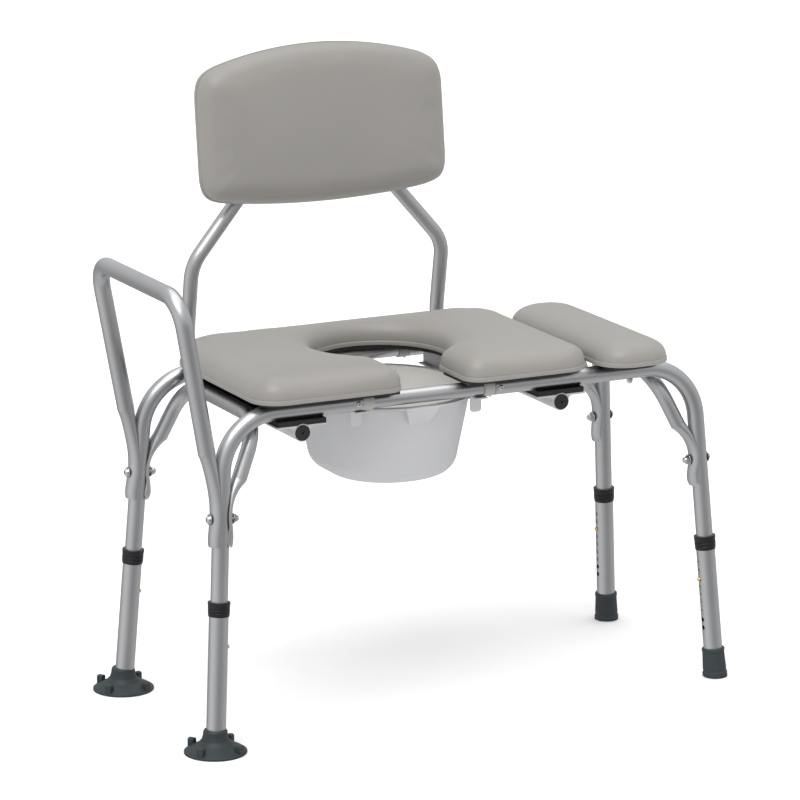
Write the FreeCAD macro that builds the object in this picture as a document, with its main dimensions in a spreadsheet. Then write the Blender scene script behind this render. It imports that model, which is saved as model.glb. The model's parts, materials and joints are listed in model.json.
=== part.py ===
import FreeCAD, Part
import math
import os
import Sketcher
from FreeCAD import Placement, Rotation, Vector

# Padded transfer bench with a commode pail.  X runs along the bench, Y from front to rear, Z up.
# Shapes are laid out about the middle of the four feet, then every placement moves them so that
# the origin is the middle of the outer box, on the floor.

SIZES = {
    # legs and frame tubes
    "footSpreadX": 416.9, "footSpreadY": 171.9, "splayX": 0.065, "splayY": 0.061,
    "railHeight": 487.0, "railBend": 85.0, "tubeDia": 25.4, "tubeWall": 1.5,
    "hoopDia": 22.2, "hoopX": 325.0, "hoopY": 128.0, "hoopHeight": 476.0, "hoopBend": 60.0,
    "saddleThick": 4.7, "saddleBottom": 301.0, "boltHeight": 341.0, "boltDia": 6.4,
    "armHeight": 668.0, "armX": 455.0, "armY": 152.0, "armBend": 42.0,
    "legBoreGap": 0.08, "legDia": 28.6, "legTop": 219.0, "legBottom": 9.0, "upperLegEnd": 96.0,
    "holePitch": 12.7, "buttonHeight": 154.0, "buttonDia": 6.6, "buttonHole": 7.4,
    # feet
    "collarDia": 32.2, "collarTall": 21.0, "tipTopDia": 33.0, "tipDia": 37.6, "tipTall": 45.0,
    "cupDia": 92.0, "cupTall": 34.0, "cupNeckDia": 37.0,
    # crossbars that join the two halves of each rail
    "barDia": 22.2, "barLeft": -159.0, "barRight": 39.0, "barReach": 40.0, "sleeveLong": 18.0,
    # seat
    "boardThick": 6.3, "padBottomGap": 0.2, "padThick": 37.0, "padFront": -188.0,
    "padRear": 166.0, "padLeft": -346.0, "padRight": 197.0, "padCorner": 42.0,
    "padRearCorner": 74.0, "padRound": 15.0, "sideLeft": 209.0, "sideRight": 328.0,
    "sideFront": -204.0, "sideRear": 150.0, "sideCorner": 46.0, "sideRearCorner": 54.0,
    "sideThick": 33.0, "sideScrewX": 279.0,
    "holeX": -62.0, "holeY": 9.0, "holeRadius": 102.0, "channelWide": 100.0, "mouthRound": 28.0,
    "boardInset": 16.0,
    # seat braces and backrest
    "braceLeft": -267.5, "braceRight": 155.0, "braceWide": 80.0, "bossHeight": 455.5,
    "bossDia": 26.4, "braceFront": -157.0, "braceRear": 176.0, "flangeThick": 2.6,
    "backTubeDia": 22.2, "backTubeGap": 0.08, "backY": 266.0, "backBend": 62.0,
    "waistY": 235.0, "waistHeight": 628.0, "backHead": 905.0, "backInner": 80.0,
    "backHoop": 50.0, "backKnee": 60.0, "backStart": -40.0, "waistSlope": 0.855, "waistRise": 0.06,
    "backPadWide": 407.0, "backPadTall": 243.0, "backPadThick": 42.0, "backPadHeight": 830.0,
    "backArch": 36.0, "backSag": 15.0, "backLean": 6.5, "backBoardThick": 6.0,
    # pail and its runners
    "pailX": -65.6, "pailY": -3.5, "pailHalfX": 123.0, "pailHalfY": 139.5, "pailCorner": 119.0,
    "pailRim": 470.5, "pailBase": 345.0, "pailWall": 2.6, "pailTaper": 0.2, "rimWide": 9.0,
    "rimThick": 3.0, "runnerGap": 1.0, "runnerWall": 2.0, "runnerFront": -100.0, "runnerRear": 125.0,
    "hookLeft": -168.5, "hookRight": 27.5, "hookWide": 18.0, "hookBase": 448.0,
}

doc = FreeCAD.newDocument("TransferBench")
sheet = doc.addObject("Spreadsheet::Sheet", "Sizes")
for row, (alias, value) in enumerate(SIZES.items(), start=1):
    sheet.set("A%d" % row, alias)
    sheet.set("B%d" % row, str(value))
    sheet.setAlias("B%d" % row, alias)
doc.recompute()


def size(alias):
    return float(sheet.get(alias))


def back_points():
    """Backrest tube from its left end in the brace to its right end, as the points of its bends."""
    left, right = size("braceLeft"), size("braceRight")
    middle, inner = (left + right) / 2, size("backInner")
    knee_rise = (middle - inner - left) / size("waistSlope")
    knee = Vector(middle - inner, size("waistY") + size("waistRise") * knee_rise,
                  size("waistHeight") + knee_rise)
    lean = math.tan(math.radians(size("backLean")))
    head = Vector(knee.x, knee.y + (size("backHead") - knee.z) * lean, size("backHead"))
    half = [Vector(left, size("backStart"), size("bossHeight")),
            Vector(left, size("backY"), size("bossHeight")),
            Vector(left, size("waistY"), size("waistHeight")), knee, head]
    return half + [Vector(2 * middle - point.x, point.y, point.z) for point in reversed(half)]


# outermost pieces: arm rail to the left, rubber tips to the right, suction cups to the front and
# the head of the backrest tube to the rear
TUBE_R = size("tubeDia") / 2
FAR_LEFT = size("armX") + TUBE_R
FAR_RIGHT = size("footSpreadX") + size("tipDia") / 2
FAR_FRONT = size("footSpreadY") + size("cupDia") / 2
FAR_REAR = back_points()[4].y + size("backTubeDia") / 2
SHIFT = Vector((FAR_LEFT - FAR_RIGHT) / 2, (FAR_FRONT - FAR_REAR) / 2, 0)
LEGS = {"front_left": (-1, -1), "front_right": (1, -1), "rear_left": (-1, 1), "rear_right": (1, 1)}
parts = {}


def register(label, obj, placement=None):
    """Give a finished document object its label and its place on the bench."""
    own = placement if placement else Placement()
    obj.Label = label
    obj.Placement = Placement(SHIFT, Rotation()).multiply(own)
    parts[label] = obj
    return obj


def feature(label, shape, placement=None):
    obj = doc.addObject("Part::Feature", label)
    obj.Shape = shape
    return register(label, obj, placement)


def leg_point(corner, height):
    """Point on the axis of one splayed leg."""
    side_x, side_y = LEGS[corner]
    return Vector(side_x * (size("footSpreadX") - size("splayX") * height),
                  side_y * (size("footSpreadY") - size("splayY") * height), height)


def leg_up(corner):
    return (leg_point(corner, 100.0) - leg_point(corner, 0.0)).normalize()


def inward(corner):
    """Unit vector square to the leg that points to the middle of the bench."""
    up = leg_up(corner)
    flat = Vector(-LEGS[corner][0], 0, 0)
    return (flat - up * flat.dot(up)).normalize()


def leg_placement(corner, height):
    """Placement with local Z along the leg and local X pointing inward."""
    up, across = leg_up(corner), inward(corner)
    side = up.cross(across)
    matrix = FreeCAD.Matrix(across.x, side.x, up.x, 0, across.y, side.y, up.y, 0,
                            across.z, side.z, up.z, 0, 0, 0, 0, 1)
    placement = Placement(matrix)
    placement.Base = leg_point(corner, height)
    return placement


# ---------------------------------------------------------------- shape helpers

def bent_path(points, radii):
    """Straight runs joined by tangent arcs, one radius for each inner point."""
    edges, start = [], points[0]
    for before, corner, after, radius in zip(points, points[1:], points[2:], radii):
        back = (before - corner).normalize()
        ahead = (after - corner).normalize()
        half = back.getAngle(ahead) / 2
        reach = radius / math.tan(half)
        middle = (back + ahead).normalize()
        first, last = corner + back * reach, corner + ahead * reach
        top = corner + middle * (radius / math.sin(half) - radius)
        edges.append(Part.LineSegment(start, first).toShape())
        edges.append(Part.Arc(first, top, last).toShape())
        start = last
    edges.append(Part.LineSegment(start, points[-1]).toShape())
    return Part.Wire(edges)


def swept(path, radius):
    first = path.Edges[0]
    start = first.valueAt(first.FirstParameter)
    along = first.tangentAt(first.FirstParameter)
    ring = Part.Wire([Part.Circle(start, along, radius).toShape()])
    return path.makePipeShell([ring], True, False)


def bent_tube(points, radii, outer, wall):
    path = bent_path(points, radii)
    return swept(path, outer).cut(swept(path, outer - wall))


def rod(start, direction, radius, length):
    return Part.makeCylinder(radius, length, start, direction)


def turned(outline, start, direction):
    """Solid of revolution from (radius, distance) pairs, standing on start along direction."""
    points = [Vector(r, 0, along) for r, along in outline]
    solid = Part.Face(Part.makePolygon(points + points[:1])).revolve(Vector(), Vector(0, 0, 1), 360)
    solid.Placement = Placement(start, Rotation(Vector(0, 0, 1), direction))
    return solid


def rounded_box_wire(half_x, half_y, corner, height, centre, rear_corner=None):
    """Rectangle with round corners, level at the given height; the rear two may differ."""
    edges = []
    for turn, (sx, sy) in enumerate([(1, 1), (-1, 1), (-1, -1), (1, -1)]):
        corner_r = rear_corner if rear_corner and sy > 0 else corner
        hub = Vector(centre.x + sx * (half_x - corner_r), centre.y + sy * (half_y - corner_r), height)
        arc = Part.Circle(hub, Vector(0, 0, 1), corner_r)
        edges.append(arc.toShape(math.radians(90 * turn), math.radians(90 * turn + 90)))
    closed = []
    for this, following in zip(edges, edges[1:] + edges[:1]):
        closed.append(this)
        closed.append(Part.LineSegment(this.Vertexes[-1].Point, following.Vertexes[0].Point).toShape())
    return Part.Wire(closed)


# ---------------------------------------------------------------- sketch helpers

def cell(alias, factor=1.0, offset=0.0):
    """A coordinate bound to the sheet: its value now and the expression that keeps it."""
    return (size(alias) * factor + offset, "Sizes.%s * %r + %r" % (alias, factor, offset))


def plain(value):
    return (value, None)


def plane_sketch(body, role, name):
    sketch = body.newObject("Sketcher::SketchObject", name)
    plane = [origin for origin in body.Origin.OriginFeatures if origin.Role == role][0]
    sketch.AttachmentSupport = (plane, "")
    sketch.MapMode = "FlatFace"
    return sketch


def bind(sketch, kind, geometry, vertex, coordinate):
    value, expression = coordinate
    if value == 0:
        axis = -2 if kind == "DistanceX" else -1
        sketch.addConstraint(Sketcher.Constraint("PointOnObject", geometry, vertex, axis))
        return
    index = sketch.addConstraint(Sketcher.Constraint(kind, -1, 1, geometry, vertex, value))
    if expression:
        sketch.setExpression("Constraints[%d]" % index, expression)


def closed_outline(sketch, outline):
    """Straight-sided closed loop with every corner bound to the sheet."""
    count = len(outline)
    spots = [Vector(x[0], y[0], 0) for x, y in outline]
    for index in range(count):
        line = Part.LineSegment(spots[index], spots[(index + 1) % count])
        sketch.addGeometry(line, False)
    for index in range(count):
        sketch.addConstraint(Sketcher.Constraint("Coincident", index, 2, (index + 1) % count, 1))
    for index, (x, y) in enumerate(outline):
        bind(sketch, "DistanceX", index, 1, x)
        bind(sketch, "DistanceY", index, 1, y)


def turned_body(label, outline):
    """Body made by one full revolution about its own Z axis."""
    body = doc.addObject("PartDesign::Body", label)
    sketch = plane_sketch(body, "XZ_Plane", label + "_outline")
    closed_outline(sketch, outline)
    revolution = body.newObject("PartDesign::Revolution", label + "_turn")
    revolution.Profile = sketch
    revolution.ReferenceAxis = (sketch, ["V_Axis"])
    revolution.Angle = 360
    return body


# ---------------------------------------------------------------- frame tubes

RAIL_TOP = size("railHeight") + TUBE_R
RAIL_BASE = size("railHeight") - TUBE_R
WALL = size("tubeWall")
BOLT_R = size("boltDia") / 2
BAR_R = size("barDia") / 2
RIVET_SET = 8.0
NUB_SHIFT = 5.0
SLEEVE_ENDS = {"left": size("barLeft") - size("sleeveLong") / 2,
               "right": size("barRight") + size("sleeveLong") / 2}


def rail_path(row, end):
    """Half a rail with its leg: up the leg, round the bend and along the bench to the sleeve."""
    corner = "%s_%s" % (row, end)
    bend = leg_point(corner, size("railHeight"))
    splice = Vector(SLEEVE_ENDS[end], bend.y, size("railHeight"))
    return [leg_point(corner, size("upperLegEnd")), bend, splice]


def cross_hole(corner):
    """Drill for the splice bolt, square to the leg."""
    middle, across = leg_point(corner, size("boltHeight")), inward(corner)
    return rod(middle - across * 40, across, BOLT_R + 0.15, 80)


def rivet_places():
    row_y = {row: leg_point(row + "_left", size("railHeight")).y for row in ("front", "rear")}
    xs = (SLEEVE_ENDS["left"] - RIVET_SET, SLEEVE_ENDS["right"] + RIVET_SET)
    return [(row, Vector(x, row_y[row], size("railHeight"))) for row in row_y for x in xs]


SCREW_R = 2.5
SCREW_HOLE_R = 2.65
FLANGE_BASE = 8.5


def screw_places():
    """Screws that hold the boards on the rails: beside each brace boss and under the side pad."""
    xs = [size(brace) + side for brace in ("braceLeft", "braceRight") for side in (-27, 27)]
    ys = [leg_point(row + "_left", size("railHeight")).y for row in ("front", "rear")]
    side_x = size("sideScrewX")
    return [(x, y, x == side_x) for x in xs + [side_x] for y in ys]


def rail(row, end):
    corner = "%s_%s" % (row, end)
    shape = bent_tube(rail_path(row, end), [size("railBend")], TUBE_R, WALL)
    shape = shape.cut(cross_hole(corner))
    button = leg_point(corner, size("buttonHeight"))
    shape = shape.cut(rod(button, inward(corner), size("buttonDia") / 2 + 0.15, 20))
    for rivet_row, place in rivet_places():
        if rivet_row == row:
            shape = shape.cut(rod(place - Vector(0, 20, 0), Vector(0, 1, 0), 2.35, 40))
    for x, y, _ in screw_places():
        shape = shape.cut(rod(Vector(x, y, RAIL_BASE - 5), Vector(0, 0, 1), 2.65, 40))
    return feature("%s_rail_%s" % (row, end), shape)


def crossbar(row):
    """Plug-in bar that joins the two halves of a rail."""
    y = leg_point(row + "_left", size("railHeight")).y
    left = size("barLeft") - size("sleeveLong") / 2 - size("barReach")
    right = size("barRight") + size("sleeveLong") / 2 + size("barReach")
    start = Vector(left, y, size("railHeight"))
    shape = rod(start, Vector(1, 0, 0), BAR_R, right - left)
    shape = shape.cut(rod(start, Vector(1, 0, 0), BAR_R - WALL, right - left))
    for rivet_row, place in rivet_places():
        if rivet_row == row:
            shape = shape.cut(rod(place - Vector(0, 20, 0), Vector(0, 1, 0), 2.35, 40))
    return feature("%s_crossbar" % row, shape)


def bean(centre, across, side, tube_r, reach, crush):
    """Section of a tube end: round at crush 0, a saddle that cups the leg at crush 1."""
    half = size("saddleThick") / 2
    mid_r = TUBE_R + 0.05 + half
    spread = (math.pi * tube_r - 2 * half) / 2 / mid_r
    points = []
    for step in range(24):
        turn = 2 * math.pi * step / 24
        c, s = math.cos(turn), math.sin(turn)
        radius = mid_r + half * math.copysign(abs(c) ** 0.5, c)
        angle = spread * math.copysign(abs(s) ** 0.9, s)
        u = (1 - crush) * tube_r * c + crush * (radius * math.cos(angle) - reach)
        v = (1 - crush) * tube_r * s + crush * radius * math.sin(angle)
        points.append(centre + across * u + side * v)
    curve = Part.BSplineCurve()
    curve.interpolate(Points=points, PeriodicFlag=True)
    return Part.Wire([curve.toShape()])


def saddle_sections(corner, tube_r, entry, entry_dir, outward_sign):
    """Sections from the round end of a tube down to the crushed end beside the leg."""
    half = size("saddleThick") / 2
    rest = TUBE_R + 0.05 + half
    away = inward(corner) * outward_sign
    down = leg_up(corner) * -1
    flat_top = leg_point(corner, size("boltHeight") + 20) + away * rest
    flat_end = leg_point(corner, size("saddleBottom")) + away * rest
    stops = [(0.0, entry)]
    for share in (0.35, 0.7):
        stops.append((share, entry + (flat_top - entry) * share))
    stops += [(1.0, flat_top), (1.0, (flat_top + flat_end) / 2), (1.0, flat_end)]
    wires = []
    for crush, centre in stops:
        normal = (entry_dir * (1 - crush) + down * crush).normalize()
        across = (away - normal * away.dot(normal)).normalize()
        side = normal.cross(across)
        foot = leg_point(corner, centre.z)
        wires.append(bean(centre, across, side, tube_r, (centre - foot).dot(away), crush))
    return wires


def with_saddles(path_points, radii, tube_r, ends, outward_sign):
    """Bent tube whose two ends are crushed to saddles on the legs named in ends."""
    shape = swept(bent_path(path_points, radii), tube_r)
    bore = swept(bent_path(path_points, radii), tube_r - WALL)
    for corner, entry, beyond in ((ends[0], path_points[0], path_points[1]),
                                  (ends[1], path_points[-1], path_points[-2])):
        entry_dir = (entry - beyond).normalize()
        wires = saddle_sections(corner, tube_r + 0.02, entry, entry_dir, outward_sign)
        shape = shape.fuse(Part.makeLoft(wires, True, False))
    shape = shape.cut(bore)
    for corner in ends:
        row, end = corner.split("_")
        shape = shape.cut(swept(bent_path(rail_path(row, end), [size("railBend")]), TUBE_R + 0.03))
        shape = shape.cut(cross_hole(corner))
    return shape


def hoop_shape():
    """Inverted U between the front and the rear leg of the right end, just inside the rails."""
    corners = ("front_right", "rear_right")
    points = []
    for corner, y_sign in zip(corners, (-1, 1)):
        top = Vector(size("hoopX"), y_sign * size("hoopY"), size("hoopHeight"))
        aim = leg_point(corner, 360.0) + inward(corner) * (TUBE_R + size("saddleThick") / 2)
        points.append((aim + (top - aim) * 0.3, top))
    path = [points[0][0], points[0][1], points[1][1], points[1][0]]
    return with_saddles(path, [size("hoopBend")] * 2, size("hoopDia") / 2, corners, 1)


def arm_rail():
    corners = ("front_left", "rear_left")
    points = []
    for corner, y_sign in zip(corners, (-1, 1)):
        top = Vector(-size("armX"), y_sign * size("armY"), size("armHeight"))
        aim = leg_point(corner, 392.0) - inward(corner) * (TUBE_R + size("saddleThick") / 2)
        points.append((aim + (top - aim) * 0.17, top))
    path = [points[0][0], points[0][1], points[1][1], points[1][0]]
    return feature("arm_rail", with_saddles(path, [size("armBend")] * 2, TUBE_R, corners, -1))


for rail_row in ("front", "rear"):
    crossbar(rail_row)
    for rail_end in ("left", "right"):
        rail(rail_row, rail_end)
right_hoop = hoop_shape()
feature("right_hoop", right_hoop)
feature("left_hoop", right_hoop.mirror(Vector(), Vector(1, 0, 0)))
arm_rail()


# ---------------------------------------------------------------- splice and board fasteners

WASHER_THICK = 1.2
SADDLE_OUT = TUBE_R + 0.05 + size("saddleThick")


def bolt_reach(corner):
    """Distances from the leg axis to the outer seat of the bolt head and to the inner nut seat."""
    outer = SADDLE_OUT if corner.endswith("left") else TUBE_R
    return outer + 0.3, SADDLE_OUT + 0.3


def splice_sets():
    bolts, washers, nuts = [], [], []
    for corner in LEGS:
        middle, across = leg_point(corner, size("boltHeight")), inward(corner)
        outer, inner = bolt_reach(corner)
        head = middle - across * (outer + WASHER_THICK)
        shank = outer + inner + 2 * WASHER_THICK + 5
        button_head = [(0, -4.2), (2.6, -4.2), (4.6, -3.2), (5.6, -1.4), (5.6, 0), (BOLT_R, 0),
                       (BOLT_R, shank), (0, shank)]
        bolt = turned(button_head, head, across)
        socket = Part.Face(Part.makePolygon([Vector(1.9 * math.cos(math.pi / 3 * k),
                                                    1.9 * math.sin(math.pi / 3 * k), 0)
                                             for k in range(7)])).extrude(Vector(0, 0, 2.4))
        socket.Placement = Placement(head - across * 4.3, Rotation(Vector(0, 0, 1), across))
        bolts.append(bolt.cut(socket))
        ring = [(BOLT_R + 0.1, 0), (8.0, 0), (8.0, WASHER_THICK), (BOLT_R + 0.1, WASHER_THICK)]
        washers.append(turned(ring, head, across))
        washers.append(turned(ring, middle + across * inner, across))
        nut_seat = middle + across * (inner + WASHER_THICK)
        nuts.append(acorn_nut(nut_seat, across, BOLT_R, 5.5, 7.0))
    return Part.Compound(bolts), Part.Compound(washers), Part.Compound(nuts)


def acorn_nut(seat, direction, bore_r, flat_r, tall):
    """Hexagon base with a dome over a blind bore."""
    corners = [Vector(flat_r / math.cos(math.pi / 6) * math.cos(math.pi / 3 * k),
                      flat_r / math.cos(math.pi / 6) * math.sin(math.pi / 3 * k), 0)
               for k in range(7)]
    hexagon = Part.Face(Part.makePolygon(corners)).extrude(Vector(0, 0, tall * 0.55))
    dome_r = flat_r * 0.94
    dome = Part.makeSphere(dome_r, Vector(0, 0, tall * 0.55)).cut(
        Part.makeBox(20, 20, 20, Vector(-10, -10, -20 + tall * 0.5)))
    nut = hexagon.fuse(dome).cut(Part.makeCylinder(bore_r + 0.08, tall * 0.8))
    nut.Placement = Placement(seat, Rotation(Vector(0, 0, 1), direction))
    return nut


def board_screws():
    """Machine screws: flush in the boards above, with a low head or an acorn nut underneath."""
    screws, nuts = [], []
    top = RAIL_TOP + size("boardThick") * 0.6
    head_r, head_tall, nut_r, nut_tall, thread_out = 5.0, 2.2, 4.6, 6.0, 4.4
    for x, y, bare in screw_places():
        low = RAIL_BASE - thread_out if bare else size("bossHeight") + FLANGE_BASE
        screws.append(rod(Vector(x, y, low), Vector(0, 0, 1), SCREW_R, top - low))
        if bare:
            nuts.append(acorn_nut(Vector(x, y, RAIL_BASE - 0.05), Vector(0, 0, -1), SCREW_R, nut_r, nut_tall))
        else:
            head = Part.makeCylinder(head_r, head_tall, Vector(x, y, low - head_tall))
            screws[-1] = screws[-1].fuse(head)
    return Part.Compound(screws), Part.Compound(nuts)


def sleeves():
    rings = []
    nub_r, nub_tall = 1.7, 2.0
    for row in ("front", "rear"):
        y = leg_point(row + "_left", size("railHeight")).y
        for visible in (size("barLeft"), size("barRight")):
            start = Vector(visible - size("sleeveLong") / 2 + 0.05, y, size("railHeight"))
            profile = [(BAR_R + 0.05, 0), (TUBE_R - 0.1, 0), (TUBE_R + 0.35, 1.2),
                       (TUBE_R + 0.35, size("sleeveLong") - 2.2), (TUBE_R - 0.9, size("sleeveLong") - 0.1),
                       (BAR_R + 0.05, size("sleeveLong") - 0.1)]
            ring = turned(profile, start, Vector(1, 0, 0))
            middle = Vector(visible + NUB_SHIFT, y, size("railHeight"))
            for upward in (1, -1):
                direction = Vector(0, 0, upward)
                root = middle + direction * (BAR_R + 0.6)
                ring = ring.fuse(rod(root, direction, nub_r, TUBE_R - BAR_R + nub_tall - 0.6))
            rings.append(ring)
    return Part.Compound(rings)


def rivets():
    made = []
    for row, place in rivet_places():
        out = Vector(0, -1 if row == "front" else 1, 0)
        seat = place + out * TUBE_R
        head = turned([(1.1, 2.0), (2.4, 2.3), (3.6, 1.7), (4.3, 0.5), (4.3, -0.9), (1.1, -0.9)], seat, out)
        head = head.cut(rod(place - Vector(20, 0, 0), Vector(1, 0, 0), TUBE_R + 0.02, 40))
        shank = turned([(1.1, 0.6), (2.3, 0.6), (2.3, -22), (1.1, -22)], seat, out)
        made.append(head.fuse(shank))
    return Part.Compound(made)


bolt_set, washer_set, nut_set = splice_sets()
feature("splice_bolts", bolt_set)
feature("splice_washers", washer_set)
feature("splice_nuts", nut_set)
screw_set, screw_nut_set = board_screws()
feature("board_screws", screw_set)
feature("board_nuts", screw_nut_set)
feature("rail_sleeves", sleeves())
feature("rail_rivets", rivets())


# ---------------------------------------------------------------- legs, collars, feet, buttons

LEAN = leg_up("front_left").z
LEG_R = size("legDia") / 2
HOLES_BELOW, HOLES_ABOVE = 6, 2


def lower_leg(corner):
    """Outer tube that slides on the frame leg, with a row of holes on its inner side."""
    label = "lower_leg_" + corner
    bore = cell("tubeDia", 0.5, size("legBoreGap"))
    outline = [(bore, cell("legBottom", 1 / LEAN)), (cell("legDia", 0.5), cell("legBottom", 1 / LEAN)),
               (cell("legDia", 0.5), cell("legTop", 1 / LEAN)), (bore, cell("legTop", 1 / LEAN))]
    body = turned_body(label, outline)
    doc.recompute()
    solid_volume = body.Shape.Volume
    sketch = plane_sketch(body, "YZ_Plane", label + "_hole")
    lowest = size("buttonHeight") / LEAN - HOLES_BELOW * size("holePitch")
    sketch.addGeometry(Part.Circle(Vector(0, lowest, 0), Vector(0, 0, 1), size("buttonHole") / 2), False)
    radius = sketch.addConstraint(Sketcher.Constraint("Radius", 0, size("buttonHole") / 2))
    sketch.setExpression("Constraints[%d]" % radius, "Sizes.buttonHole / 2")
    sketch.addConstraint(Sketcher.Constraint("PointOnObject", 0, 3, -2))
    height = sketch.addConstraint(Sketcher.Constraint("DistanceY", -1, 1, 0, 3, lowest))
    sketch.setExpression("Constraints[%d]" % height,
                         "Sizes.buttonHeight / %r - %d * Sizes.holePitch" % (LEAN, HOLES_BELOW))
    pocket = body.newObject("PartDesign::Pocket", label + "_button_hole")
    pocket.Profile = sketch
    pocket.Length = size("legDia")
    pocket.Reversed = True
    row = body.newObject("PartDesign::LinearPattern", label + "_hole_row")
    row.Originals = [pocket]
    row.Direction = (sketch, ["V_Axis"])
    row.Length = (HOLES_BELOW + HOLES_ABOVE) * size("holePitch")
    row.Occurrences = HOLES_BELOW + HOLES_ABOVE + 1
    body.Tip = row
    doc.recompute()
    if body.Shape.Volume > solid_volume - 8 * size("buttonHole"):
        raise ValueError("the button holes missed " + label)
    return register(label, body, leg_placement(corner, 0))


def collar(corner):
    """Plastic cap over the open top of the lower leg, with two shallow grooves."""
    label = "leg_collar_" + corner
    top = size("legTop") / LEAN + 1.5
    base = top - size("collarTall")
    wide, waist = cell("collarDia", 0.5), cell("collarDia", 0.5, -0.7)
    bore, lip = cell("legDia", 0.5, 0.05), cell("tubeDia", 0.5, 0.25)
    rises = [0, 5.5, 6.3, 7.1, 10.5, 11.3, 12.1, 15.5]
    radii = [waist, wide, waist, wide, wide, waist, wide, wide]
    outline = [(bore, plain(base))]
    outline += [(radius, plain(base + rise)) for radius, rise in zip(radii, rises)]
    outline += [(cell("collarDia", 0.5, 0.5), plain(top - 2.5)), (cell("collarDia", 0.5, 0.5), plain(top)),
                (lip, plain(top)), (lip, plain(top - 1.4)), (bore, plain(top - 1.4))]
    return register(label, turned_body(label, outline), leg_placement(corner, 0))


def snap_button(corner):
    """Round-ended button that locks the lower leg; a flange keeps it inside the frame leg."""
    label = "snap_button_" + corner
    tip = LEG_R + 3.4
    outline = [(plain(0), plain(8.6)), (plain(4.4), plain(8.6)), (plain(4.4), plain(10.2)),
               (cell("buttonDia", 0.5), plain(10.2)), (cell("buttonDia", 0.5), plain(tip - 2.2)),
               (cell("buttonDia", 0.5, -0.9), plain(tip - 0.7)), (cell("buttonDia", 0.5, -2.2), plain(tip)),
               (plain(0), plain(tip))]
    across = inward(corner)
    placement = Placement(leg_point(corner, size("buttonHeight")), Rotation(Vector(0, 0, 1), across))
    return register(label, turned_body(label, outline), placement)


def floor_cut(shape):
    return shape.cut(Part.makeBox(400, 400, 60, Vector(-200, -200, -60)))


def leg_socket(corner, length):
    """Room for the lower leg in a foot, laid out about the foot's own zero."""
    up = leg_up(corner)
    return rod(up * (size("legBottom") / LEAN - 0.05), up, LEG_R + 0.05, length)


def rubber_tip(corner):
    up = leg_up(corner)
    tip_r, top_r, tall = size("tipDia") / 2, size("tipTopDia") / 2, size("tipTall")
    outline = [(0, -6), (tip_r, -6), (tip_r, 6), (tip_r - 1.2, 9), (top_r + 1.4, 14),
               (top_r + 0.2, tall - 6), (top_r + 1.0, tall - 5), (top_r + 1.0, tall - 1.5),
               (top_r - 0.4, tall), (0, tall)]
    shape = floor_cut(turned(outline, Vector(), up)).cut(leg_socket(corner, tall))
    groove = [(9, -8), (11, -8), (11, 1.5), (9, 1.5)]
    shape = shape.cut(turned(groove, Vector(), up))
    return feature("rubber_tip_" + corner, shape, Placement(leg_point(corner, 0), Rotation()))


def suction_cup(corner):
    cup_r, neck_r, tall = size("cupDia") / 2, size("cupNeckDia") / 2, size("cupTall")
    outline = [(0, 5.5), (12, 5.5), (cup_r - 7, 2.2), (cup_r - 3, 0), (cup_r, 0), (cup_r, 2.2),
               (cup_r - 5, 5.4), (neck_r + 8, 13), (neck_r + 2, 19), (neck_r, 25), (neck_r - 1, tall - 2),
               (neck_r - 2.4, tall), (0, tall)]
    shape = turned(outline, Vector(), Vector(0, 0, 1))
    tab = Part.makeBox(9, 10, 13, Vector(cup_r - 10.5, -5, 2.6))
    tab = tab.makeFillet(3, [edge for edge in tab.Edges if abs(edge.CenterOfMass.z - 15.6) < 0.1
                             and abs(edge.CenterOfMass.y) > 4])
    for turn in (35, 125, 215, 305):
        lug = tab.copy()
        lug.rotate(Vector(), Vector(0, 0, 1), turn)
        shape = shape.fuse(lug)
    shape = shape.cut(leg_socket(corner, tall + 10)).removeSplitter()
    return feature("suction_cup_" + corner, shape, Placement(leg_point(corner, 0), Rotation()))


for leg_corner in LEGS:
    lower_leg(leg_corner)
    collar(leg_corner)
    snap_button(leg_corner)
    if leg_corner.endswith("left"):
        suction_cup(leg_corner)
    else:
        rubber_tip(leg_corner)


# ---------------------------------------------------------------- seat boards and pads

BOARD_BASE = RAIL_TOP + 0.05
BOARD_TOP = BOARD_BASE + size("boardThick")
PAD_BASE = BOARD_TOP + size("padBottomGap")
opening = Vector(size("holeX"), size("holeY"), 0)


def flat_outline(edges, corners, height, inset=0.0):
    """Outline of a pad or board from its left, right, front and rear edges, drawn in by an inset."""
    left, right, front, rear = [size(alias) for alias in edges]
    front_r, rear_r = [size(alias) - inset for alias in corners]
    middle = Vector((left + right) / 2, (front + rear) / 2, 0)
    return rounded_box_wire((right - left) / 2 - inset, (rear - front) / 2 - inset, front_r, height,
                            middle, rear_r)


def opening_cutter(grow, height, tall, mouth_round):
    """Round hole with a straight channel to the front edge, its mouth rounded."""
    radius = size("holeRadius") + grow
    half = size("channelWide") / 2 + grow
    hole = Part.makeCylinder(radius, tall, opening + Vector(0, 0, height))
    reach = opening.y - size("padFront") + 30
    channel = Part.makeBox(2 * half, reach, tall, opening + Vector(-half, -reach, height))
    shape = hole.fuse(channel).removeSplitter()
    neck = [edge for edge in shape.Edges if abs(abs(edge.CenterOfMass.x - opening.x) - half) < 0.1
            and edge.CenterOfMass.y > opening.y - radius and abs(edge.Length - tall) < 0.1]
    shape = shape.makeFillet(18, neck)
    if mouth_round:
        front = size("padFront")
        for side in (-1, 1):
            post_x = opening.x + side * half - (mouth_round if side < 0 else 0)
            post = Part.makeBox(mouth_round, mouth_round, tall, Vector(post_x, front, height))
            hub = Vector(opening.x + side * (half + mouth_round), front + mouth_round, height)
            shape = shape.fuse(post.cut(Part.makeCylinder(mouth_round, tall, hub)))
    return shape


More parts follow.
